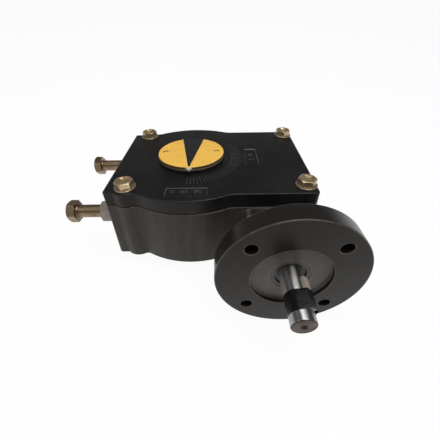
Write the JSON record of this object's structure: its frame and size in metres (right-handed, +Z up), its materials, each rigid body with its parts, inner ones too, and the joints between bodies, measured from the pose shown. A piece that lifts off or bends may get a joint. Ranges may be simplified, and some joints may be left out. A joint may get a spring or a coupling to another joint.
{
  "type": "valve gearbox",
  "caption": "Quarter-turn worm gearbox for a valve: cast base and bolted cover, round input flange with keyed shaft, position indicator and adjustable stop bolts.",
  "frame": {"origin": "centre of the valve mounting face, on the output axis", "axes": "+Z up along the output axis, +X towards the worm, input shaft pointing along -Y"},
  "size_m": [0.2943, 0.2715, 0.13],
  "materials": {
    "black_paint": "satin black paint on cast iron",
    "gasket_sheet": "pressed red-brown gasket sheet",
    "yellow_zinc": "yellow-passivated zinc on steel",
    "grey_zinc": "dull zinc plate",
    "rubber": "black rubber",
    "tape": "black vinyl tape",
    "bearing_steel": "ground bearing steel",
    "ground_steel": "ground bright steel",
    "key_steel": "oiled key steel",
    "ductile_iron": "machined ductile iron",
    "bronze": "bearing bronze",
    "black_plastic": "black moulded plastic",
    "yellow_plastic": "warm yellow moulded plastic"
  },
  "bodies": {
    "gearbox_body": {"housing": "black_paint", "cover": "black_paint", "input_flange": "black_paint", "rear_cap": "black_paint", "cover_gasket": "gasket_sheet", "cover_bolts": "yellow_zinc", "cover_washers": "yellow_zinc", "input_flange_bolts": "yellow_zinc", "rear_cap_bolts": "yellow_zinc", "stop_lock_nuts": "grey_zinc", "stop_seal_washers": "rubber", "input_seal": "rubber", "lower_o_ring": "rubber", "upper_o_ring": "rubber", "front_bearing_outer_ring": "bearing_steel", "front_bearing_rollers": "bearing_steel", "rear_bearing_outer_ring": "bearing_steel", "rear_bearing_rollers": "bearing_steel", "lower_bush": "bronze", "upper_bush": "bronze", "thrust_washer": "bronze"},
    "output_quadrant": {"quadrant": "ductile_iron", "drive_sleeve": "ground_steel", "sleeve_key": "ground_steel", "indicator_base": "black_plastic", "indicator_cap": "yellow_plastic", "indicator_screws": "grey_zinc"},
    "input_shaft": {"worm_shaft": "ground_steel", "input_key": "key_steel", "key_tape": "tape", "front_bearing_inner_ring": "bearing_steel", "rear_bearing_inner_ring": "bearing_steel"},
    "front_stop": {"stop_bolt_front": "yellow_zinc"},
    "rear_stop": {"stop_bolt_rear": "yellow_zinc"}
  },
  "joints": [
    {"name": "input_turn", "type": "hinge", "parent": "gearbox_body", "child": "input_shaft", "pos_m": [0.091, 0, 0.038], "axis": [0, -1, 0], "range_deg": [0, 4500]},
    {"name": "output_turn", "type": "hinge", "parent": "gearbox_body", "child": "output_quadrant", "pos_m": [0, 0, 0], "axis": [0, 0, 1], "range_deg": [0, 90]},
    {"name": "front_stop_adjust", "type": "slide", "parent": "gearbox_body", "child": "front_stop", "axis": [-1, 0, 0], "range_m": [0, 0.006]},
    {"name": "rear_stop_adjust", "type": "slide", "parent": "gearbox_body", "child": "rear_stop", "axis": [-1, 0, 0], "range_m": [0, 0.006]}
  ],
  "couplings": [
    {"joint": "output_turn", "follows": "input_turn", "ratio": 0.02}
  ]
}
